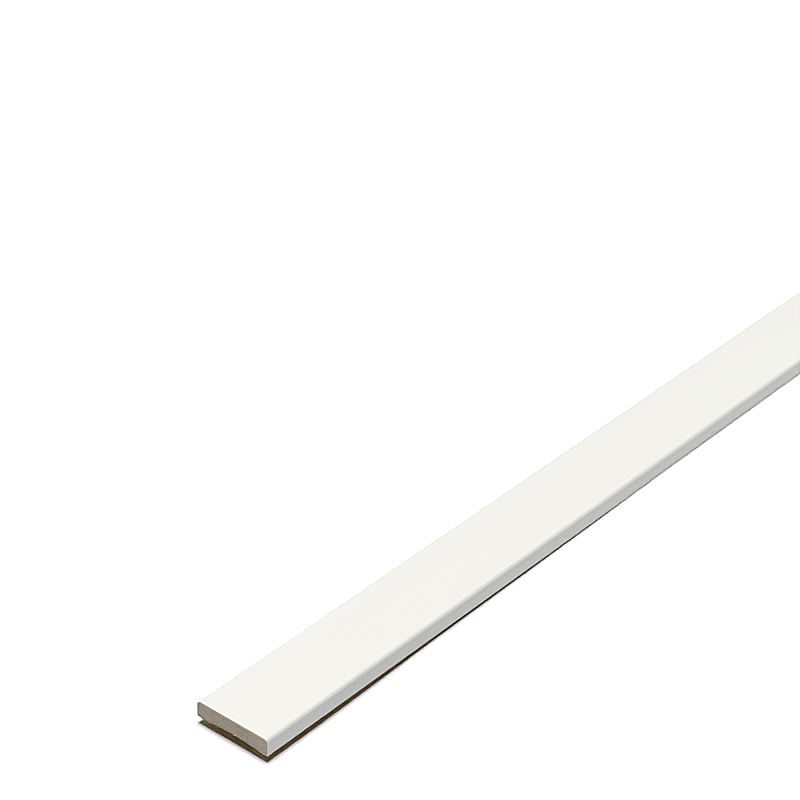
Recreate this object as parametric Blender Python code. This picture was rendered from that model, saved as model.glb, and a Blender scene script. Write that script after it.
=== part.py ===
"""A flat architrave board: rounded arrises on the face, a shallow hollow along the back.

The board lies on its back. X runs along it, Y across it and Z out of its face. The origin
is the middle of the plane that the two lands of the back rest on.
"""
from math import asin, cos, pi, radians, sin

import bmesh
import bpy

# Sizes of the board, in metres
BOARD_LENGTH = 2.200
BOARD_WIDTH = 0.056
BOARD_THICKNESS = 0.012

# Sizes of its section: the arrises, and the hollow between the two lands of the back
FACE_ARRIS_RADIUS = 0.003
BACK_ARRIS_RADIUS = 0.0003
BACK_LAND_WIDTH = 0.0055
HOLLOW_DEPTH = 0.0016

# Straight steps that each round stretch of the section is made with
FACE_ARRIS_STEPS = 10
BACK_ARRIS_STEPS = 3
HOLLOW_STEPS = 28

# Below this angle two neighbouring faces belong to one round surface
SMOOTH_ANGLE = radians(30.0)

# Paint stops where a surface turns this share of the way to the ends or to the back
PAINT_LIMIT_SHARE = 0.5

# Finish: satin warm white paint, and the bare softwood of the sawn ends and the back
PAINT_COLOUR = (0.800, 0.796, 0.755, 1.0)
PAINT_ROUGHNESS = 0.32
BARE_WOOD_COLOUR = (0.480, 0.400, 0.285, 1.0)
BARE_WOOD_ROUGHNESS = 0.85


def make_material(name, colour, roughness):
    """A plain material of one colour, with no metal in it."""
    material = bpy.data.materials.new(name)
    material.use_nodes = True
    shader = material.node_tree.nodes["Principled BSDF"]
    shader.inputs["Base Color"].default_value = colour
    shader.inputs["Roughness"].default_value = roughness
    shader.inputs["Metallic"].default_value = 0.0
    material.diffuse_color = colour
    return material


def arc(centre_y, centre_z, radius, start, end, steps):
    """The (y, z) points of a round stretch, from its start angle to its end angle."""
    turns = [start + (end - start) * step / steps for step in range(steps + 1)]
    return [(centre_y + radius * cos(turn), centre_z + radius * sin(turn)) for turn in turns]


def hollow_arc():
    """The hollow of the back, from its left side to its right, as one flat arc."""
    half_chord = BOARD_WIDTH / 2 - BACK_LAND_WIDTH
    radius = (half_chord ** 2 + HOLLOW_DEPTH ** 2) / (2 * HOLLOW_DEPTH)
    half_turn = asin(half_chord / radius)
    return arc(0.0, HOLLOW_DEPTH - radius, radius,
               pi / 2 + half_turn, pi / 2 - half_turn, HOLLOW_STEPS)


def section_outline():
    """The outline of the board's section, seen from its -X end, as one closed run of points."""
    side = BOARD_WIDTH / 2
    back_y = side - BACK_ARRIS_RADIUS
    face_y = side - FACE_ARRIS_RADIUS
    face_z = BOARD_THICKNESS - FACE_ARRIS_RADIUS
    return [
        *hollow_arc(),
        *arc(back_y, BACK_ARRIS_RADIUS, BACK_ARRIS_RADIUS, -pi / 2, 0.0, BACK_ARRIS_STEPS),
        *arc(face_y, face_z, FACE_ARRIS_RADIUS, 0.0, pi / 2, FACE_ARRIS_STEPS),
        *arc(-face_y, face_z, FACE_ARRIS_RADIUS, pi / 2, pi, FACE_ARRIS_STEPS),
        *arc(-back_y, BACK_ARRIS_RADIUS, BACK_ARRIS_RADIUS, pi, 3 * pi / 2, BACK_ARRIS_STEPS),
    ]


def is_painted(face):
    """True on the face, the long edges and their arrises: the sides that the paint covers."""
    return abs(face.normal.x) < PAINT_LIMIT_SHARE and face.normal.z > -PAINT_LIMIT_SHARE


def make_board():
    """The whole board: its section, drawn at one sawn end and run along to the other."""
    shape = bmesh.new()
    start_x = -BOARD_LENGTH / 2
    corners = [shape.verts.new((start_x, y, z)) for y, z in section_outline()]
    start_end = shape.faces.new(corners)
    run = bmesh.ops.extrude_face_region(shape, geom=[start_end], use_keep_orig=True)
    far_corners = [item for item in run["geom"] if isinstance(item, bmesh.types.BMVert)]
    bmesh.ops.translate(shape, verts=far_corners, vec=(BOARD_LENGTH, 0.0, 0.0))
    bmesh.ops.recalc_face_normals(shape, faces=shape.faces)

    for face in shape.faces:
        face.material_index = 0 if is_painted(face) else 1

    mesh = bpy.data.meshes.new("architrave_board")
    shape.to_mesh(mesh)
    shape.free()
    mesh.shade_smooth()
    mesh.set_sharp_from_angle(angle=SMOOTH_ANGLE)
    mesh.materials.append(make_material("painted_softwood", PAINT_COLOUR, PAINT_ROUGHNESS))
    mesh.materials.append(make_material("bare_softwood", BARE_WOOD_COLOUR, BARE_WOOD_ROUGHNESS))

    board = bpy.data.objects.new("architrave_board", mesh)
    bpy.context.scene.collection.objects.link(board)
    return board


def main():
    for old in list(bpy.data.objects):
        bpy.data.objects.remove(old, do_unlink=True)
    make_board()


main()
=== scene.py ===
# %% [markdown]
# A flat architrave board.
#
# An architrave covers the joint between a door or window lining and the wall. This one is a
# flat softwood board. A moulding machine planed it to its section, a factory painted its face
# and its edges, and a saw cut it to length last of all, so that both ends are bare wood.
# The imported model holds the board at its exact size. This lesson gives it the surface of the
# real thing: the paint, the sawn ends, the planed back, and the light of a plain studio.

from math import cos, exp, pi, radians, sin, sqrt

import bmesh
import bpy
from mathutils import Matrix, Quaternion, Vector, noise


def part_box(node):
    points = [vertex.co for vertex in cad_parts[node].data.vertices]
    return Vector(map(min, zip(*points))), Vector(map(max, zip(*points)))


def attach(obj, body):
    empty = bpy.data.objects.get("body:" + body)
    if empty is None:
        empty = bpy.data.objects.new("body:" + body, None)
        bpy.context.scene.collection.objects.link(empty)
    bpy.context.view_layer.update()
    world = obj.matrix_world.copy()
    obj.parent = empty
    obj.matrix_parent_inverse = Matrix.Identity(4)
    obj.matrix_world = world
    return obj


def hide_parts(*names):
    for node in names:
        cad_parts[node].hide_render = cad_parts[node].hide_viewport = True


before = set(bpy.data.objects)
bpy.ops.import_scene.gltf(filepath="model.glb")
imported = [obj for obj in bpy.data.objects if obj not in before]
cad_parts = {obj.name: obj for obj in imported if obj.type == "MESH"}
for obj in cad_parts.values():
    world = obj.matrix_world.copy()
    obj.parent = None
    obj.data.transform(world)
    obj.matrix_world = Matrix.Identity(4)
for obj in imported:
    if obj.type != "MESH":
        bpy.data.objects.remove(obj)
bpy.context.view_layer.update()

BOARD_LOW, BOARD_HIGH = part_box("architrave_board")
LENGTH, WIDTH, THICKNESS = BOARD_HIGH - BOARD_LOW
print(f"The board is {LENGTH:.3f} m long, {WIDTH:.4f} m wide and {THICKNESS:.4f} m thick")

# %% [markdown]
# The camera stands off the near end's left corner and looks down along the board.
#
# A long lens from well back keeps the two long edges nearly parallel, as a product picture
# does. The place is given from the near end's lower corner, because that corner is the one
# thing in the picture that a tape measure could be held to.

# %% Place the camera
CAMERA_FROM_CORNER = Vector((-0.888, -0.8156, 1.0106))
VIEW_TURN = radians(50.839)
VIEW_TILT = radians(32.359)
VIEW_ROLL = radians(1.53)
LENS_MM = 120.52
SENSOR_MM = 36.0
SEEN_FROM = 0.05
SEEN_TO = 200.0


def add_camera():
    """A camera turned from straight across the board towards its far end, and tilted down."""
    lens = bpy.data.cameras.new("studio_camera")
    lens.lens = LENS_MM
    lens.sensor_width = SENSOR_MM
    lens.clip_start = SEEN_FROM
    lens.clip_end = SEEN_TO
    camera = bpy.data.objects.new("studio_camera", lens)
    camera.location = BOARD_LOW + CAMERA_FROM_CORNER
    looking = Vector((sin(VIEW_TURN) * cos(VIEW_TILT), cos(VIEW_TURN) * cos(VIEW_TILT),
                      -sin(VIEW_TILT)))
    camera.rotation_mode = "QUATERNION"
    turn = looking.to_track_quat("-Z", "Y")
    camera.rotation_quaternion = turn @ Quaternion((0.0, 0.0, 1.0), VIEW_ROLL)
    bpy.context.scene.collection.objects.link(camera)
    bpy.context.scene.camera = camera
    return camera


camera = add_camera()
print("The camera stands at", tuple(round(place, 3) for place in camera.location))

# %% [markdown]
# The floor is plain and pale, and it dips by about five millimetres under the near end.
#
# A long thin board is never held down flat by its own weight: it bridges any hollow in the
# floor, and a thin dark gap shows under it. Lowering the floor makes that gap, while the board
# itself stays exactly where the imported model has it. The gap closes slowly along the board, as
# the table below says. Each row of it holds a distance from the near end, in metres, and the
# share of the dip that is left there. Where the board bears on the floor, the soft sheet comes
# up a hair around it.

# %% Lay the floor
FLOOR_HALF_SIZE = 40.0
FLOOR_DIP = 0.0048
DIP_SHARES = ((0.00, 0.98), (0.05, 0.96), (0.08, 0.84), (0.12, 0.66), (0.15, 0.50),
              (0.20, 0.42), (0.27, 0.29), (0.33, 0.16), (0.37, 0.03), (0.39, -0.03))


def dip_at(x):
    """How far the floor lies under the board's back, at a place along the board."""
    from_end = max(x - BOARD_LOW.x, 0.0)
    for (start, high), (end, low) in zip(DIP_SHARES, DIP_SHARES[1:]):
        if from_end <= end:
            return FLOOR_DIP * (high + (low - high) * (from_end - start) / (end - start))
    return FLOOR_DIP * DIP_SHARES[-1][1]


def lay_floor():
    """One wide sheet, cut across at each place of the table, and lowered there."""
    sheet = bmesh.new()
    bmesh.ops.create_grid(sheet, x_segments=1, y_segments=1, size=FLOOR_HALF_SIZE)
    for from_end, _ in DIP_SHARES:
        bmesh.ops.bisect_plane(sheet, geom=[*sheet.verts, *sheet.edges, *sheet.faces],
                               plane_co=(BOARD_LOW.x + from_end, 0.0, 0.0),
                               plane_no=(1.0, 0.0, 0.0))
    for corner in sheet.verts:
        corner.co.z = BOARD_LOW.z - dip_at(corner.co.x)
    mesh = bpy.data.meshes.new("studio_floor")
    sheet.to_mesh(mesh)
    sheet.free()
    floor = bpy.data.objects.new("studio_floor", mesh)
    bpy.context.scene.collection.objects.link(floor)
    return floor


floor = lay_floor()
print("The floor has", len(floor.data.polygons), "strips")

# %% [markdown]
# Small helpers for materials.
#
# A node tree is easier to read as a few sentences than as a page of links. The first helper
# adds a node and fills its inputs, either with a value or with another node's output. The rest
# are built on it, and stand for what masks and colours are made of: a sum, a soft step, a cloud
# of random patches, a blend of two colours, a little relief, and an empty group or material to
# put them in.

# %% Helpers for node trees
def add_node(tree, kind, inputs=None, **settings):
    """Adds a node, sets its properties, and fills its inputs by value or by link."""
    node = tree.nodes.new(kind)
    for name, value in settings.items():
        setattr(node, name, value)
    for key, value in (inputs or {}).items():
        if isinstance(value, bpy.types.NodeSocket):
            tree.links.new(value, node.inputs[key])
        else:
            node.inputs[key].default_value = value
    return node


def calc(tree, operation, first, second=0.0, third=0.0):
    """The result of one sum."""
    inputs = {0: first, 1: second, 2: third}
    return add_node(tree, "ShaderNodeMath", inputs, operation=operation).outputs[0]


def axes_of(tree, place):
    """The X, Y and Z of a place, as three outputs."""
    return add_node(tree, "ShaderNodeSeparateXYZ", {0: place}).outputs


def soft_step(tree, value, start, end, low=0.0, high=1.0):
    """Goes smoothly from low to high as the value goes from start to end."""
    inputs = {"Value": value, "From Min": start, "From Max": end, "To Min": low, "To Max": high}
    node = add_node(tree, "ShaderNodeMapRange", inputs, interpolation_type="SMOOTHSTEP")
    return node.outputs["Result"]


def cloud(tree, place, per_metre, detail=2.0, roughness=0.5):
    """Soft random patches, from 0 to 1, so many to the metre."""
    inputs = {"Vector": place, "Scale": per_metre, "Detail": detail, "Roughness": roughness}
    return add_node(tree, "ShaderNodeTexNoise", inputs).outputs["Fac"]


def long_cloud(tree, place, per_metre, detail, roughness=0.5):
    """Random patches that are drawn out along the board: so many to the metre on each axis."""
    drawn = add_node(tree, "ShaderNodeMapping", {"Vector": place, "Scale": per_metre})
    return cloud(tree, drawn.outputs["Vector"], 1.0, detail, roughness)


def blend_colours(tree, factor, first, second):
    """One colour fading into another."""
    inputs = {0: factor, 6: first, 7: second}
    return add_node(tree, "ShaderNodeMix", inputs, data_type="RGBA").outputs[2]


def add_relief(tree, shader, height, distance):
    """Shows a height as bump, where a height of 1 is so many metres."""
    bump = add_node(tree, "ShaderNodeBump", {"Height": height, "Distance": distance})
    tree.links.new(bump.outputs["Normal"], shader.inputs["Normal"])


def new_group(name, inputs, outputs):
    """An empty node group with named inputs, each with its usual value, and named outputs."""
    tree = bpy.data.node_groups.new(name, "ShaderNodeTree")
    for title, (kind, usual) in inputs.items():
        socket = tree.interface.new_socket(title, in_out="INPUT", socket_type=kind)
        if usual is not None:
            socket.default_value = usual
    for title, kind in outputs.items():
        tree.interface.new_socket(title, in_out="OUTPUT", socket_type=kind)
    arriving = tree.nodes.new("NodeGroupInput").outputs
    leaving = tree.nodes.new("NodeGroupOutput").inputs
    return tree, arriving, leaving


def use_group(tree, group, inputs):
    """One group placed in a material, with its own values. Returns its outputs."""
    return add_node(tree, "ShaderNodeGroup", inputs, node_tree=group).outputs


def new_material(name):
    """A material with only a shader and its output, and the place on the piece to paint by."""
    material = bpy.data.materials.new(name)
    material.use_nodes = True
    tree = material.node_tree
    place = add_node(tree, "ShaderNodeTexCoord").outputs["Object"]
    return material, tree, tree.nodes["Principled BSDF"], place


print("The helpers for groups and materials are ready")

# %% [markdown]
# The grain of the tree, as a solid.
#
# A board is a slice of a trunk, so its rings run right through it. If the rings are worked out
# in three dimensions, from how far each point lies from the pith, the arcs on the sawn end meet
# the lines on the back by themselves. The pith of this board lay above its painted face. A ring
# goes slowly from pale earlywood to dark latewood, and then stops sharply where winter came.

# %% A group for the rings of the softwood
PITH_ACROSS = -0.006
PITH_ABOVE = 0.043
RING_WIDTH = 0.0021
RING_DRIFT = 0.0016
DRIFT_PER_METRE = (1.6, 38.0, 38.0)
LATEWOOD_FADE_IN = (0.35, 0.92)
LATEWOOD_FADE_OUT = (0.95, 1.0)
FIBRES_PER_METRE = (60.0, 2600.0, 2600.0)


def make_rings():
    """Gives the latewood of each ring, a shade of its own for each year, and the fibres."""
    group, given, made = new_group(
        "softwood_rings",
        {"Place": ("NodeSocketVector", None), "Ring Width": ("NodeSocketFloat", RING_WIDTH),
         "Drift": ("NodeSocketFloat", RING_DRIFT)},
        {"Latewood": "NodeSocketFloat", "Ring Shade": "NodeSocketFloat",
         "Fibre": "NodeSocketFloat"})
    place = given["Place"]
    parts = axes_of(group, place)
    across = calc(group, "SUBTRACT", parts["Y"], PITH_ACROSS)
    above = calc(group, "SUBTRACT", parts["Z"], PITH_ABOVE)
    from_pith = calc(group, "SQRT", calc(group, "ADD", calc(group, "POWER", across, 2.0),
                                         calc(group, "POWER", above, 2.0)))
    wander = long_cloud(group, place, DRIFT_PER_METRE, detail=3.0)
    shift = calc(group, "MULTIPLY", calc(group, "SUBTRACT", wander, 0.5), given["Drift"])
    shifted = calc(group, "MULTIPLY_ADD", shift, 2.0, from_pith)
    count = calc(group, "DIVIDE", shifted, given["Ring Width"])
    growth = calc(group, "FRACT", count)
    rise = soft_step(group, growth, *LATEWOOD_FADE_IN)
    stop = soft_step(group, growth, *LATEWOOD_FADE_OUT, low=1.0, high=0.0)
    group.links.new(calc(group, "MULTIPLY", rise, stop), made["Latewood"])
    year = add_node(group, "ShaderNodeTexWhiteNoise", {"W": calc(group, "FLOOR", count)},
                    noise_dimensions="1D").outputs["Value"]
    group.links.new(year, made["Ring Shade"])
    group.links.new(long_cloud(group, place, FIBRES_PER_METRE, detail=3.0), made["Fibre"])
    return group


rings = make_rings()
print("Rings are", round(RING_WIDTH * 1000, 2), "mm apart in", rings.name)

# %% [markdown]
# How near a point is to the saw cuts.
#
# Several marks start at the board's ends: the paint there is given a painted shade along the cut
# edge, and the back splinters there. One group measures the distance to the nearer end and turns
# it into a ragged mask. Each material then uses the mask its own way, with its own reach.

# %% A group for the zone beside the saw cuts
USUAL_REACH = 0.001
USUAL_RAGGEDNESS = 0.3
CUT_PATCHES_PER_METRE = 900.0


def make_cut_zone():
    """Gives a mask that is full at the saw cut and gone at its reach."""
    group, given, made = new_group(
        "beside_the_saw_cut",
        {"Place": ("NodeSocketVector", None), "Reach": ("NodeSocketFloat", USUAL_REACH),
         "Raggedness": ("NodeSocketFloat", USUAL_RAGGEDNESS),
         "Patches": ("NodeSocketFloat", CUT_PATCHES_PER_METRE)},
        {"Mask": "NodeSocketFloat"})
    off_middle = calc(group, "ABSOLUTE", axes_of(group, given["Place"])["X"])
    distance = calc(group, "SUBTRACT", LENGTH / 2, off_middle)
    patches = calc(group, "SUBTRACT", cloud(group, given["Place"], given["Patches"]), 0.5)
    ragged = calc(group, "MULTIPLY", patches, given["Raggedness"])
    share = calc(group, "ADD", calc(group, "DIVIDE", distance, given["Reach"]), ragged)
    group.links.new(soft_step(group, share, 0.0, 1.0, low=1.0, high=0.0), made["Mask"])
    return group


cut_zone = make_cut_zone()
print("The zone beside each saw cut is usually", USUAL_REACH * 1000, "mm wide")

# %% [markdown]
# Dust and handling.
#
# A white board is carried, stored and sawn, and fine dust settles on it in soft patches, with
# a few streaks along the grain. The mask is faint on purpose: it is felt as a surface that
# isn't a computer's perfect white, and never seen as dirt.

# %% A group for dust and handling
USUAL_DUST = 0.5
DUST_PER_METRE = (9.0, 40.0, 40.0)
DUST_FADE = (0.35, 0.75)
SPECKS_PER_METRE = 420.0
SPECKS_FADE = (0.58, 0.8)
SPECKS_SHARE = 0.5
STREAKS_PER_METRE = (6.0, 900.0, 900.0)
STREAKS_FADE = (0.3, 0.8)


def make_dust():
    """Gives patches of dust with specks in them, and streaks along the grain."""
    group, given, made = new_group(
        "dust_and_handling",
        {"Place": ("NodeSocketVector", None), "Amount": ("NodeSocketFloat", USUAL_DUST)},
        {"Dust": "NodeSocketFloat", "Streaks": "NodeSocketFloat"})
    place = given["Place"]
    settled = long_cloud(group, place, DUST_PER_METRE, detail=5.0, roughness=0.6)
    grains = cloud(group, place, SPECKS_PER_METRE, detail=4.0, roughness=0.7)
    specks = soft_step(group, grains, *SPECKS_FADE)
    both = calc(group, "MULTIPLY_ADD", specks, SPECKS_SHARE,
                soft_step(group, settled, *DUST_FADE))
    group.links.new(calc(group, "MULTIPLY", both, given["Amount"]), made["Dust"])
    lines = long_cloud(group, place, STREAKS_PER_METRE, detail=4.0)
    streaks = soft_step(group, lines, *STREAKS_FADE)
    group.links.new(calc(group, "MULTIPLY", streaks, given["Amount"]), made["Streaks"])
    return group


dust = make_dust()
print("Groups ready:", rings.name, cut_zone.name, dust.name)

# %% [markdown]
# The satin paint.
#
# Factory paint on trim is a warm white with a satin sheen. Under a raking light it isn't flat:
# the knives of the planer leave a faint ripple across the board, the harder latewood stands up
# as fine lines along it, and the spray leaves a texture like fine leather. All three are under a
# hundredth of a millimetre high, so they are bump and not geometry. Where the saw went through,
# the last half millimetre of the coat is painted darker than the rest: a painted shade that
# softens the cut edge.

# %% Mix the satin paint
PAINT_WHITE = (0.780, 0.776, 0.735, 1.0)
PAINT_SHADED = (0.758, 0.752, 0.698, 1.0)
# Painted shade for the last half millimetre of the coat beside each saw cut.
PAINT_EDGE_SHADE = (0.580, 0.565, 0.520, 1.0)
SHADED_PER_METRE = (2.5, 30.0, 30.0)
SHADED_FADE = (0.3, 0.7)
SHADED_SHARE = 0.35
EDGE_SHADE_REACH = 0.0006
EDGE_SHADE_RAGGEDNESS = 0.35
EDGE_SHADE_SHARE = 0.9
PAINT_DUST = 0.6
PAINT_DUST_SHARE = 0.25
PAINT_ROUGHNESS = 0.30
STREAKS_DULLING = 0.10
DUST_DULLING = 0.06
KNIFE_MARK_PITCH = 0.0019
KNIFE_MARK_WAVER = 0.6
KNIFE_WAVER_SCALE = 0.4
WAVE_NODE_RADIANS = 20.0
SPRAY_PER_METRE = 1500.0
PAINT_RELIEF = 0.000016
SPRAY_HEIGHT_SHARE = 0.55
KNIFE_HEIGHT_SHARE = 0.18
GRAIN_HEIGHT_SHARE = 0.35
FIBRE_HEIGHT_SHARE = 0.30


def knife_marks(tree, place):
    """The planer's ripple. The node's wave turns by 20 radians for each unit of its scale."""
    inputs = {"Vector": place, "Scale": 2.0 * pi / (WAVE_NODE_RADIANS * KNIFE_MARK_PITCH),
              "Distortion": KNIFE_MARK_WAVER, "Detail": 1.0, "Detail Scale": KNIFE_WAVER_SCALE}
    return add_node(tree, "ShaderNodeTexWave", inputs, wave_type="BANDS", bands_direction="X",
                    wave_profile="SIN").outputs["Fac"]


def make_paint():
    """The paint's colour, then its sheen, then its relief."""
    material, tree, shader, place = new_material("satin_paint")
    grain = use_group(tree, rings, {"Place": place, "Drift": RING_DRIFT})
    marks = use_group(tree, dust, {"Place": place, "Amount": PAINT_DUST})
    cut = use_group(tree, cut_zone, {"Place": place, "Reach": EDGE_SHADE_REACH,
                                     "Raggedness": EDGE_SHADE_RAGGEDNESS})

    tone = long_cloud(tree, place, SHADED_PER_METRE, detail=3.0)
    coat = blend_colours(tree, soft_step(tree, tone, *SHADED_FADE, high=SHADED_SHARE),
                         PAINT_WHITE, PAINT_SHADED)
    dusty = blend_colours(tree, calc(tree, "MULTIPLY", marks["Dust"], PAINT_DUST_SHARE),
                          coat, PAINT_SHADED)
    # Painted shade: the coat is darkened along the saw cuts.
    edged = blend_colours(tree, calc(tree, "MULTIPLY", cut["Mask"], EDGE_SHADE_SHARE),
                          dusty, PAINT_EDGE_SHADE)
    tree.links.new(edged, shader.inputs["Base Color"])

    sheen = calc(tree, "MULTIPLY_ADD", marks["Streaks"], STREAKS_DULLING, PAINT_ROUGHNESS)
    tree.links.new(calc(tree, "MULTIPLY_ADD", marks["Dust"], DUST_DULLING, sheen),
                   shader.inputs["Roughness"])

    height = calc(tree, "MULTIPLY", cloud(tree, place, SPRAY_PER_METRE), SPRAY_HEIGHT_SHARE)
    for pattern, share in ((knife_marks(tree, place), KNIFE_HEIGHT_SHARE),
                           (grain["Latewood"], GRAIN_HEIGHT_SHARE),
                           (grain["Fibre"], FIBRE_HEIGHT_SHARE)):
        height = calc(tree, "MULTIPLY_ADD", pattern, share, height)
    add_relief(tree, shader, height, PAINT_RELIEF)
    return material


satin_paint = make_paint()
print("The paint's relief is", PAINT_RELIEF * 1000, "mm where its patterns add up to 1")

# %% [markdown]
# The sawn end.
#
# A saw tears across thousands of hollow fibres. Their open ends drink up the light, so end grain
# looks greyer and darker than the side of the same wood. The rings show as arcs, and three sizes
# of dark patches lie over them: pores, clumps of fibre, and broad blotches. Each row of the
# table gives a size's patches to the metre, their detail, the values between which they fade in,
# and how much they darken the wood. The end is a little paler towards its near side, and so is
# the wood right under the coat of the face, where the primer soaked in. The end is also a little
# darker towards its back, and the torn fibres there, which are also pressed in, get a painted
# shade.

# %% Mix the finish of the sawn ends
END_EARLYWOOD = (0.630, 0.556, 0.421, 1.0)
END_LATEWOOD = (0.345, 0.280, 0.188, 1.0)
END_RING_LEAST = 0.16
END_RING_SPREAD = 0.26
# The colour of the pores; it also darkens the end towards its back, and gives the torn places
# their painted shade.
END_PORES_AND_SHADE = (0.252, 0.202, 0.138, 1.0)
END_PATCHES = ((2600.0, 3.0, 0.52, 0.74, 0.34),
               (800.0, 3.0, 0.40, 0.60, 0.34),
               (180.0, 4.0, 0.38, 0.62, 0.16))
END_PATCH_ROUGHNESS = 0.7
END_PALER_NEAR_SIDE = (0.760, 0.690, 0.550, 1.0)
PALER_FROM_NEAR_SIDE = 0.018
PALER_NEAR_SIDE_SHARE = 0.22
END_PRIMED = (0.740, 0.700, 0.625, 1.0)
PRIMED_DEPTH = 0.0020
PRIMED_SHARE = 0.75
DARKER_FROM_BACK = 0.006
DARKER_SHARE = 0.15
TORN_PAINTED_SHADE_SHARE = 0.55
FRESH_WOOD = (0.870, 0.820, 0.700, 1.0)
SAWN_ROUGHNESS = 0.88
SAWN_DULLING = 0.08
SAWN_RELIEF = 0.00006
PORE_HEIGHT_SHARE = -0.5


def blend_rings(tree, grain, pale, dark, least, spread):
    """Earlywood fading into latewood, by a share that differs from year to year."""
    year = calc(tree, "MULTIPLY_ADD", grain["Ring Shade"], spread, least)
    return blend_colours(tree, calc(tree, "MULTIPLY", grain["Latewood"], year), pale, dark)


def point_layer(tree, name):
    """A value that the mesh itself carries on its points."""
    return add_node(tree, "ShaderNodeAttribute", attribute_name=name).outputs["Fac"]


def make_sawn_end():
    """The colour of the end grain, from the rings outwards, and then its pitted relief."""
    material, tree, shader, place = new_material("sawn_end")
    grain = use_group(tree, rings, {"Place": place, "Drift": RING_DRIFT})
    marks = use_group(tree, dust, {"Place": place, "Amount": 1.0})
    colour = blend_rings(tree, grain, END_EARLYWOOD, END_LATEWOOD, END_RING_LEAST,
                         END_RING_SPREAD)
    masks = []
    for per_metre, detail, start, end, share in END_PATCHES:
        patches = cloud(tree, place, per_metre, detail, END_PATCH_ROUGHNESS)
        masks.append(soft_step(tree, patches, start, end))
        colour = blend_colours(tree, calc(tree, "MULTIPLY", masks[-1], share), colour, END_PORES_AND_SHADE)

    parts = axes_of(tree, place)
    # The end is paler towards its near side.
    paler_near_side = soft_step(tree, parts["Y"], BOARD_LOW.y, BOARD_LOW.y + PALER_FROM_NEAR_SIDE,
                        low=PALER_NEAR_SIDE_SHARE, high=0.0)
    soaked = soft_step(tree, parts["Z"], BOARD_HIGH.z - PRIMED_DEPTH, BOARD_HIGH.z,
                       high=PRIMED_SHARE)
    # The end is darker towards its back.
    darker_to_back = soft_step(tree, parts["Z"], BOARD_LOW.z, BOARD_LOW.z + DARKER_FROM_BACK,
                        low=DARKER_SHARE, high=0.0)
    # Painted shade: the torn places at the back are darkened as well as pressed in.
    torn = calc(tree, "MULTIPLY", point_layer(tree, "torn_fibre"), TORN_PAINTED_SHADE_SHARE)
    for mask, over in ((paler_near_side, END_PALER_NEAR_SIDE), (soaked, END_PRIMED), (darker_to_back, END_PORES_AND_SHADE),
                       (torn, END_PORES_AND_SHADE), (point_layer(tree, "fresh_wood"), FRESH_WOOD)):
        colour = blend_colours(tree, mask, colour, over)
    tree.links.new(colour, shader.inputs["Base Color"])
    tree.links.new(calc(tree, "MULTIPLY_ADD", marks["Dust"], SAWN_DULLING, SAWN_ROUGHNESS),
                   shader.inputs["Roughness"])
    height = calc(tree, "MULTIPLY_ADD", masks[0], PORE_HEIGHT_SHARE, grain["Latewood"])
    add_relief(tree, shader, height, SAWN_RELIEF)
    return material


sawn_end = make_sawn_end()
print("The sawn end has", len(END_PATCHES), "sizes of dark patches")

# %% [markdown]
# The planed back.
#
# The back faces the wall, so it gets no paint of its own. It is bare planed softwood, with the
# rings drawn out into long lines. The spray from the edges creeps a little way round, and
# beside the saw cuts the fibres are freshly torn.

# %% Mix the finish of the planed back
BACK_EARLYWOOD = (0.550, 0.348, 0.105, 1.0)
BACK_LATEWOOD = (0.335, 0.185, 0.050, 1.0)
BACK_RING_LEAST = 0.5
BACK_RING_SPREAD = 0.4
BACK_FIBRE_FADE = (0.35, 0.75)
BACK_FIBRE_SHARE = 0.25
BACK_TORN_REACH = 0.0020
BACK_TORN_RAGGEDNESS = 1.2
BACK_TORN_SHARE = 0.6
OVERSPRAY_REACH = 0.0003
OVERSPRAY_SOFTNESS = 0.0004
OVERSPRAY_PER_METRE = (60.0, 500.0, 500.0)
PLANED_ROUGHNESS = 0.62
PLANED_DULLING = 0.10
PLANED_GLOSS = 0.15
PLANED_RELIEF = 0.00003
PLANED_FIBRE_SHARE = 0.6


def make_planed_back():
    """The colour of the bare back, the paint that crept round to it, and its relief."""
    material, tree, shader, place = new_material("planed_back")
    shader.inputs["Specular IOR Level"].default_value = PLANED_GLOSS
    grain = use_group(tree, rings, {"Place": place, "Drift": RING_DRIFT})
    marks = use_group(tree, dust, {"Place": place, "Amount": 1.0})
    cut = use_group(tree, cut_zone, {"Place": place, "Reach": BACK_TORN_REACH,
                                     "Raggedness": BACK_TORN_RAGGEDNESS})
    ringed = blend_rings(tree, grain, BACK_EARLYWOOD, BACK_LATEWOOD, BACK_RING_LEAST,
                         BACK_RING_SPREAD)
    fibres = soft_step(tree, grain["Fibre"], *BACK_FIBRE_FADE, high=BACK_FIBRE_SHARE)
    fine = blend_colours(tree, fibres, ringed, BACK_LATEWOOD)
    torn = blend_colours(tree, calc(tree, "MULTIPLY", cut["Mask"], BACK_TORN_SHARE),
                         fine, FRESH_WOOD)
    off_middle = calc(tree, "ABSOLUTE", axes_of(tree, place)["Y"])
    from_side = calc(tree, "SUBTRACT", WIDTH / 2, off_middle)
    drift = long_cloud(tree, place, OVERSPRAY_PER_METRE, detail=4.0)
    reach = calc(tree, "MULTIPLY", drift, 2.0 * OVERSPRAY_REACH)
    spray = soft_step(tree, calc(tree, "SUBTRACT", from_side, reach),
                      -OVERSPRAY_SOFTNESS, OVERSPRAY_SOFTNESS, low=1.0, high=0.0)
    tree.links.new(blend_colours(tree, spray, torn, PAINT_SHADED), shader.inputs["Base Color"])
    tree.links.new(calc(tree, "MULTIPLY_ADD", marks["Streaks"], PLANED_DULLING,
                        PLANED_ROUGHNESS), shader.inputs["Roughness"])
    height = calc(tree, "MULTIPLY_ADD", grain["Fibre"], PLANED_FIBRE_SHARE, grain["Latewood"])
    add_relief(tree, shader, height, PLANED_RELIEF)
    return material


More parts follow.
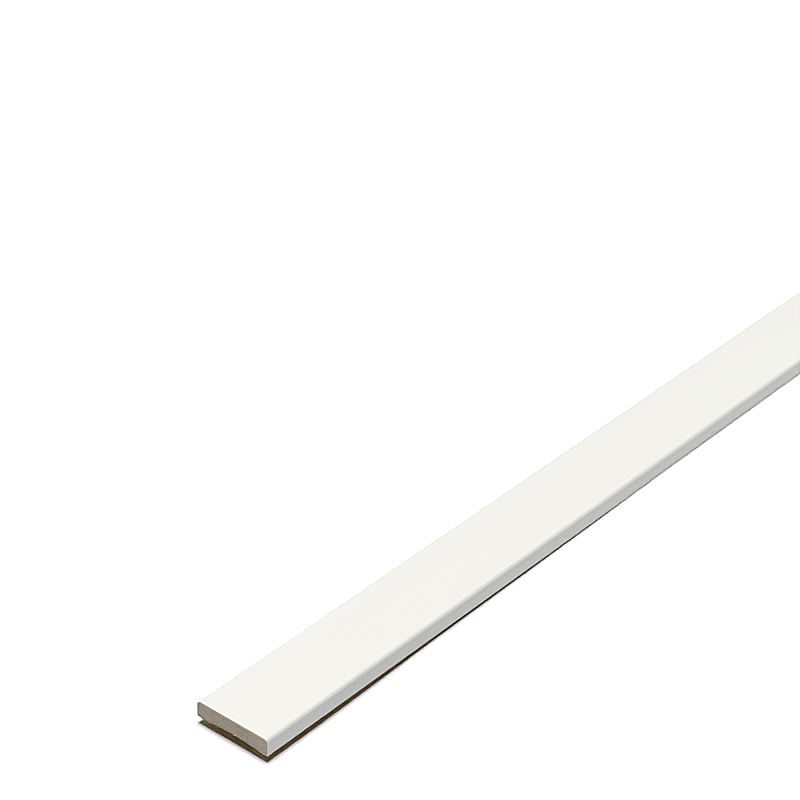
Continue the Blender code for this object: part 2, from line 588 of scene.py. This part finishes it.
planed_back = make_planed_back()
FINISHES = [satin_paint, sawn_end, planed_back]
PAINTED, SAWN, PLANED = range(len(FINISHES))
print("Finishes:", ", ".join(finish.name for finish in FINISHES))

# %% [markdown]
# The board's section.
#
# The moulding machine starts from a square-edged blank and takes wood away: a cutter rounds
# the two arrises of the face, another eases those of the back, and a wide one hollows the
# back so that the board touches an uneven wall only along its two sides. The same steps work
# here. A cube is stretched to the blank, its long edges are bevelled, and the back is cut into
# strips that are pushed up along an arc. The coat fills the arrises of the back out, so they
# are left sharper here than the cutter made them.

# %% Plane the blank to its section
FACE_ARRIS_RADIUS = 0.003
BACK_ARRIS_RADIUS = 0.00012
BACK_LAND_WIDTH = 0.0055
HOLLOW_DEPTH = 0.0016
FACE_ARRIS_STEPS = 16
BACK_ARRIS_STEPS = 4
HOLLOW_STRIPS = 48
HALF_CHORD = WIDTH / 2 - BACK_LAND_WIDTH
HOLLOW_RADIUS = (HALF_CHORD ** 2 + HOLLOW_DEPTH ** 2) / (2 * HOLLOW_DEPTH)
TINY = 0.00001
ON_THE_CUT = TINY / 10
FLAT_FACING = 0.999


def back_height(y):
    """The height of the hollowed back over the plane that its lands lie on."""
    if abs(y) >= HALF_CHORD:
        return 0.0
    return sqrt(HOLLOW_RADIUS ** 2 - y ** 2) - (HOLLOW_RADIUS - HOLLOW_DEPTH)


def long_edges(shape, height):
    """The blank's edges that run along it at one height."""
    return [edge for edge in shape.edges
            if all(abs(corner.co.z - height) < TINY for corner in edge.verts)
            and abs(edge.verts[0].co.x - edge.verts[1].co.x) > LENGTH / 2]


def round_edges(shape, edges, radius, steps):
    """Takes a quarter round off each edge."""
    bmesh.ops.bevel(shape, geom=edges, offset=radius, offset_type="OFFSET", segments=steps,
                    profile=0.5, affect="EDGES", material=-1, clamp_overlap=True)


def cut_faces(shape, faces, through, facing, closeness):
    """Cuts some faces along a plane that goes through a point and faces one way."""
    around = {item for face in faces for item in [*face.verts, *face.edges]}
    bmesh.ops.bisect_plane(shape, geom=[*faces, *around], dist=closeness, plane_co=through,
                           plane_no=facing)


def plane_section():
    """The blank, with its arrises rounded and its back hollowed."""
    shape = bmesh.new()
    middle = (BOARD_LOW + BOARD_HIGH) / 2
    bmesh.ops.create_cube(shape, size=1.0, matrix=Matrix.Translation(middle)
                          @ Matrix.Diagonal((LENGTH, WIDTH, THICKNESS, 1.0)))
    round_edges(shape, long_edges(shape, BOARD_HIGH.z), FACE_ARRIS_RADIUS, FACE_ARRIS_STEPS)
    round_edges(shape, long_edges(shape, BOARD_LOW.z), BACK_ARRIS_RADIUS, BACK_ARRIS_STEPS)
    for strip in range(HOLLOW_STRIPS + 1):
        y = HALF_CHORD * (2.0 * strip / HOLLOW_STRIPS - 1.0)
        back = [face for face in shape.faces if face.normal.z < -FLAT_FACING]
        cut_faces(shape, back, (0.0, y, 0.0), (0.0, 1.0, 0.0), ON_THE_CUT)
    for corner in shape.verts:
        if abs(corner.co.z - BOARD_LOW.z) < TINY:
            corner.co.z += back_height(corner.co.y)
    shape.normal_update()
    return shape


board_shape = plane_section()
print("The section has", len(board_shape.verts) // 2, "points")

# %% [markdown]
# Where each finish goes.
#
# The faces already know where they point, so the finish is handed out by direction: the two
# ends are sawn, what looks down is the planed back, and all the rest is painted.

# %% Hand out the finishes
END_FACING = 0.9
BACK_FACING = 0.98


def finish_of(face):
    """The number of the finish that a face gets."""
    if abs(face.normal.x) > END_FACING:
        return SAWN
    if face.normal.z < -BACK_FACING:
        return PLANED
    return PAINTED


for face in board_shape.faces:
    face.material_index = finish_of(face)
for number, finish in enumerate(FINISHES):
    count = sum(face.material_index == number for face in board_shape.faces)
    print("Faces with", finish.name, "so far:", count)

# %% [markdown]
# Both ends of the board are cut into short lengths, so that wear can bend it there.
#
# Most of the board can stay as long plain strips. Only the first few millimetres need more
# points, because the near end's lower corner is worn there. The far end gets the same cuts, so
# that the two ends shade alike.

# %% Cut short lengths at both ends
SHORT_LENGTHS = (0.0002, 0.0005, 0.0010, 0.0016, 0.0024, 0.0034, 0.0050, 0.0080)

for inwards in SHORT_LENGTHS:
    for x in (BOARD_LOW.x + inwards, BOARD_HIGH.x - inwards):
        cut_faces(board_shape, board_shape.faces[:], (x, 0.0, 0.0), (1.0, 0.0, 0.0), ON_THE_CUT)
print("After the cuts the board has", len(board_shape.faces), "faces")

# %% [markdown]
# The cut edge of the coat.
#
# Each end is one flat face with the section's outline. A thin rim of it is inset first, as wide
# as the coat of paint is thick, and the painted part of the rim gets the paint: that is the
# coat, seen from its cut edge. The rest is then cut both ways into a fine net, because the saw
# needs points to press in. The net's lines are moved by a share of a square, so that none of
# them runs along an edge that is there already.

# %% Rim the ends and net them
PAINT_FILM = 0.00006
NET_PITCH = 0.0005
NET_OFFSET_SHARE = 0.37
ON_THE_NET = TINY / 5


def end_faces(shape, x):
    """The faces that make up one sawn end, without its rim."""
    return [face for face in shape.faces
            if face.material_index == SAWN and abs(face.calc_center_median().x - x) < TINY]


def rim_the_end(shape, x):
    """Insets the end by the thickness of the paint, and paints the rim beside the coat."""
    rim = bmesh.ops.inset_region(shape, faces=end_faces(shape, x), thickness=PAINT_FILM,
                                 use_even_offset=True, use_boundary=True)["faces"]
    for face in rim:
        beside = [other for edge in face.edges for other in edge.link_faces
                  if abs(other.normal.x) < END_FACING]
        if any(other.material_index == PAINTED for other in beside):
            face.material_index = PAINTED
        else:
            face.material_index = PLANED


def net_over_end(shape, x):
    """Cuts the end both ways into small squares."""
    for low, high, axis in ((BOARD_LOW.y, BOARD_HIGH.y, Vector((0, 1, 0))),
                            (BOARD_LOW.z, BOARD_HIGH.z, Vector((0, 0, 1)))):
        cuts = round((high - low) / NET_PITCH)
        for cut in range(1, cuts):
            place = low + (high - low) * (cut + NET_OFFSET_SHARE) / cuts
            cut_faces(shape, end_faces(shape, x), axis * place, axis, ON_THE_NET)


for end_x in (BOARD_LOW.x, BOARD_HIGH.x):
    rim_the_end(board_shape, end_x)
    net_over_end(board_shape, end_x)
print("The two sawn ends have", len([f for f in board_shape.faces if f.material_index == SAWN]),
      "small faces")

# %% [markdown]
# The marks of the saw.
#
# A round blade leaves curved scratches, and their curve tells where its axle was: here below
# the board and beyond its far edge. Such marks could be bump alone, but then the lower edge
# would stay dead straight. So every point of the net is pressed in a little instead: along the
# scratches, by a fine roughness everywhere, and deepest at the back, where the last fibres
# broke out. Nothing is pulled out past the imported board. How torn a point is stays with it in
# a layer, and the finish of the end reads that layer to shade it.

# %% Press the saw's marks in
TOOTH_PITCH = 0.0011
TOOTH_DEPTH = 0.00005
TOOTH_WAVER = 2.0
WAVER_PER_METRE = 60.0
BLADE_ACROSS = 0.060
BLADE_BELOW = 0.135
ROUGH_DEPTH = 0.00005
ROUGH_PER_METRE = 900.0
ROUGH_FINENESS = 0.8
ROUGH_STEP = 2.0
ROUGH_SIZES = 3
TORN_REACH = 0.0009
TORN_DEPTH = 0.00028
TORN_RAGGEDNESS = 0.9
TORN_PER_METRE_ACROSS = 700.0
TORN_PER_METRE_UP = 260.0
NEAR_SEED = 3.0
FAR_SEED = 11.0
torn_layer = board_shape.verts.layers.float.new("torn_fibre")


def torn_share(y, z, seed):
    """How torn the fibres are: most at the back, in ragged patches."""
    above_back = max(z - back_height(y), 0.0)
    patch = noise.noise(Vector((y * TORN_PER_METRE_ACROSS, z * TORN_PER_METRE_UP, seed)))
    ragged = min(max(0.5 + TORN_RAGGEDNESS * patch, 0.0), 1.0)
    return ragged * exp(-((above_back / TORN_REACH) ** 2))


def saw_depth(y, z, seed):
    """How deep the saw cut a point of the end, below the highest points of the cut."""
    sweep = sqrt((y - BLADE_ACROSS) ** 2 + (z + BLADE_BELOW) ** 2)
    waver = noise.noise(Vector((y * WAVER_PER_METRE, z * WAVER_PER_METRE, seed)))
    tooth = 0.5 + 0.5 * sin(2.0 * pi * sweep / TOOTH_PITCH + TOOTH_WAVER * waver)
    rough = 0.5 + 0.5 * noise.fractal(Vector((y * ROUGH_PER_METRE, z * ROUGH_PER_METRE, seed)),
                                      ROUGH_FINENESS, ROUGH_STEP, ROUGH_SIZES)
    return (TOOTH_DEPTH * tooth + ROUGH_DEPTH * max(rough, 0.0)
            + TORN_DEPTH * torn_share(y, z, seed))


def saw_the_end(shape, x, inwards, seed):
    """Presses every inner point of the end's net in by its depth."""
    inner = {corner for face in end_faces(shape, x) for corner in face.verts
             if all(other.material_index == SAWN for other in corner.link_faces)}
    for corner in inner:
        corner[torn_layer] = torn_share(corner.co.y, corner.co.z, seed)
        corner.co.x += inwards * saw_depth(corner.co.y, corner.co.z, seed)
    return len(inner)


pressed = (saw_the_end(board_shape, BOARD_LOW.x, 1.0, NEAR_SEED)
           + saw_the_end(board_shape, BOARD_HIGH.x, -1.0, FAR_SEED))
print("Points pressed in by the saw:", pressed)

# %% [markdown]
# Splinters.
#
# Where the teeth leave the wood they push a few fibres out instead of cutting them. At the near
# end four slivers lie along the lower edge, bright because their wood is fresh. Each is a thin
# cone with a few sides. It is pressed flat, its thick end is sunk into the wood, and it leans
# down a little. One that would reach under the board is flattened there too.

# %% Hang the splinters
SPLINTER_PLACES = (-0.0250, -0.0228, -0.0017, 0.0180)
SPLINTER_LENGTHS = (0.0016, 0.0020, 0.0024, 0.0028)
SPLINTER_LEANS = (radians(80.0), radians(72.0), radians(68.0), radians(80.0))
SPLINTER_RADIUS = 0.00044
SPLINTER_TIP_SHARE = 0.15
SPLINTER_FLATNESS = 0.3
SPLINTER_SINK = radians(5.0)
SPLINTER_DROP = 0.00015
SPLINTER_SIDES = 10
fresh_layer = board_shape.verts.layers.float.new("fresh_wood")


def hang_splinter(shape, y, length, lean):
    """One sliver near the plane of the end, with its thick end sunk into the wood."""
    height = max(back_height(y) - SPLINTER_DROP, SPLINTER_RADIUS)
    inwards = SPLINTER_RADIUS * SPLINTER_FLATNESS
    place = Matrix.Translation((BOARD_LOW.x + inwards, y, BOARD_LOW.z + height))
    flat = Matrix.Diagonal((SPLINTER_FLATNESS, 1.0, 1.0, 1.0))
    turn = Matrix.Rotation(SPLINTER_SINK, 4, "Z") @ flat @ Matrix.Rotation(pi + lean, 4, "X")
    made = bmesh.ops.create_cone(
        shape, cap_ends=True, segments=SPLINTER_SIDES, radius1=SPLINTER_RADIUS,
        radius2=SPLINTER_RADIUS * SPLINTER_TIP_SHARE, depth=length,
        matrix=place @ turn)["verts"]
    for corner in made:
        corner[fresh_layer] = 1.0
        corner.co.x = max(corner.co.x, BOARD_LOW.x + TINY)
        corner.co.z = max(corner.co.z, BOARD_LOW.z + TINY)
    for face in {face for corner in made for face in corner.link_faces}:
        face.material_index = SAWN


for y, length, lean in zip(SPLINTER_PLACES, SPLINTER_LENGTHS, SPLINTER_LEANS):
    hang_splinter(board_shape, y, length, lean)
print("Splinters at the near end:", len(SPLINTER_PLACES))

# %% [markdown]
# The worn corner.
#
# The near end's far lower corner has been set down on something hard. Its edge is pushed up by
# most of a millimetre, and the dent fades out a few millimetres along the board and across it.

# %% Wear the far lower corner
WORN_ACROSS = 0.0040
WORN_ALONG = 0.0030
WORN_DEPTH = 0.0008
WORN_UP = 2.0 * WORN_DEPTH
WORN_RAGGEDNESS = 0.3
WORN_PER_METRE = 1200.0


def wear_corner(shape):
    """Pushes the points near the corner up, and returns how many there are."""
    worn = 0
    for corner in shape.verts:
        across = (BOARD_HIGH.y - corner.co.y) / WORN_ACROSS
        along = (corner.co.x - BOARD_LOW.x) / WORN_ALONG
        up = (corner.co.z - BOARD_LOW.z) / WORN_UP
        if max(across, along, up) < 1.0:
            rough = 1.0 + WORN_RAGGEDNESS * noise.noise(corner.co * WORN_PER_METRE)
            ease = (1.0 - across ** 2) * (1.0 - along) * (1.0 - up)
            corner.co.z += WORN_DEPTH * rough * ease
            worn += 1
    return worn


worn_points = wear_corner(board_shape)
print("Points worn at the corner:", worn_points)

# %% [markdown]
# The finished piece.
#
# The mesh goes into an object at the origin, like the imported board that it stands for. Flat
# places stay flat and round ones smooth, because edges sharper than a set angle are marked.

# %% Make the piece and attach it to the root
SMOOTH_ANGLE = radians(32.0)


def finish_board(shape):
    """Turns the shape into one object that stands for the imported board."""
    mesh = bpy.data.meshes.new("painted_board")
    shape.to_mesh(mesh)
    shape.free()
    mesh.shade_smooth()
    mesh.set_sharp_from_angle(angle=SMOOTH_ANGLE)
    for finish in FINISHES:
        mesh.materials.append(finish)
    piece = bpy.data.objects.new("painted_board", mesh)
    bpy.context.scene.collection.objects.link(piece)
    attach(piece, "root")
    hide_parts("architrave_board")
    return piece


board = finish_board(board_shape)
print("The finished board has", len(board.data.polygons), "faces")

# %% [markdown]
# The light of a plain studio.
#
# A broad softbox hangs almost straight above the board. Its width sets every soft edge in the
# picture: the gap under the board turns dark within a millimetre, and the floor beside it is in
# half shade for a few millimetres more. The long edges and the sawn ends face the floor's own
# glow and get about half of the face's light. The room adds a little, from behind the board.
# The floor is a shade cooler and darker round the near end than further along.

# %% Light the studio
WHITE = (1.0, 1.0, 1.0, 1.0)
LAMP_STRENGTH = 3.68
LAMP_WIDTH = radians(22.0)
LAMP_LEAN_BACK = radians(3.0)
LAMP_LEAN_ALONG = radians(2.2)
LAMP_DISTANCE = 3.0
ROOM_BRIGHT = 0.12
ROOM_DIM = 0.0
ROOM_BACK = Vector((0.60, 0.65, 0.45)).normalized()
ROOM_FADE = (-0.3, 0.9)
FLOOR_NEAR = (0.854, 0.868, 0.894, 1.0)
FLOOR_FAR = (0.908, 0.908, 0.922, 1.0)
FLOOR_FAR_START = 0.45
FLOOR_ROUGHNESS = 0.8


def hang_lamp():
    """The softbox, as a sun as wide in the sky as the box is from the board."""
    light = bpy.data.lights.new("overhead_lamp", "SUN")
    light.energy = LAMP_STRENGTH
    light.angle = LAMP_WIDTH
    lamp = bpy.data.objects.new("overhead_lamp", light)
    towards = Vector((sin(LAMP_LEAN_ALONG), sin(LAMP_LEAN_BACK), 1.0)).normalized()
    lamp.rotation_mode = "QUATERNION"
    lamp.rotation_quaternion = towards.to_track_quat("Z", "Y")
    lamp.location = BOARD_LOW + towards * LAMP_DISTANCE
    bpy.context.scene.collection.objects.link(lamp)


def paint_room():
    """The room's own light, by direction. The camera itself sees plain white."""
    world = bpy.data.worlds.new("studio_room")
    world.use_nodes = True
    tree = world.node_tree
    tree.nodes.clear()
    direction = add_node(tree, "ShaderNodeTexCoord").outputs["Generated"]
    facing = add_node(tree, "ShaderNodeVectorMath", {0: direction, 1: ROOM_BACK},
                      operation="DOT_PRODUCT").outputs["Value"]
    bright = soft_step(tree, facing, *ROOM_FADE, low=ROOM_DIM, high=ROOM_BRIGHT)
    room = add_node(tree, "ShaderNodeBackground", {"Color": WHITE, "Strength": bright})
    plain = add_node(tree, "ShaderNodeBackground", {"Color": WHITE, "Strength": 1.0})
    seen = add_node(tree, "ShaderNodeLightPath").outputs["Is Camera Ray"]
    both = add_node(tree, "ShaderNodeMixShader", {0: seen, 1: room.outputs[0],
                                                  2: plain.outputs[0]})
    add_node(tree, "ShaderNodeOutputWorld", {"Surface": both.outputs[0]})
    bpy.context.scene.world = world


def paint_floor():
    """A plain pale sheet in two tones that fade into each other along the board."""
    material, tree, shader, place = new_material("pale_floor")
    shader.inputs["Roughness"].default_value = FLOOR_ROUGHNESS
    tone = soft_step(tree, axes_of(tree, place)["X"], BOARD_LOW.x,
                     BOARD_LOW.x + FLOOR_FAR_START)
    tree.links.new(blend_colours(tree, tone, FLOOR_NEAR, FLOOR_FAR), shader.inputs["Base Color"])
    floor.data.materials.append(material)


hang_lamp()
paint_room()
paint_floor()
bpy.context.scene.view_settings.view_transform = "Standard"
print("One lamp of strength", LAMP_STRENGTH, "and a room of", ROOM_BRIGHT)

# %% [markdown]
# The sharpness of the picture.
#
# A product picture is sharpened before it is shown. The compositor does the same: it brings
# the picture to the scale that the eye judges by, lifts each pixel a little away from its
# neighbours, and brings it back. The gap under the board becomes a crisp dark line that way.
# Nothing on the board changes, so the model keeps its own soft edges.

# %% Sharpen the picture
EYE_GAMMA = 2.2
SHARPENING = 0.20


def sharpen_picture():
    """Clips the picture to white, and sharpens it on the eye's own scale."""
    scene = bpy.context.scene
    scene.use_nodes = True
    tree = scene.node_tree
    tree.nodes.clear()
    taken = add_node(tree, "CompositorNodeRLayers").outputs["Image"]
    clipped = add_node(tree, "CompositorNodeMixRGB", {0: 1.0, 1: taken, 2: WHITE},
                       blend_type="MULTIPLY", use_clamp=True).outputs[0]
    for_the_eye = add_node(tree, "CompositorNodeGamma",
                           {"Image": clipped, "Gamma": 1.0 / EYE_GAMMA}).outputs[0]
    crisp = add_node(tree, "CompositorNodeFilter", {"Fac": SHARPENING, "Image": for_the_eye},
                     filter_type="SHARPEN").outputs[0]
    back = add_node(tree, "CompositorNodeGamma", {"Image": crisp, "Gamma": EYE_GAMMA}).outputs[0]
    add_node(tree, "CompositorNodeComposite", {"Image": back})


sharpen_picture()
print("The picture is sharpened by", SHARPENING)
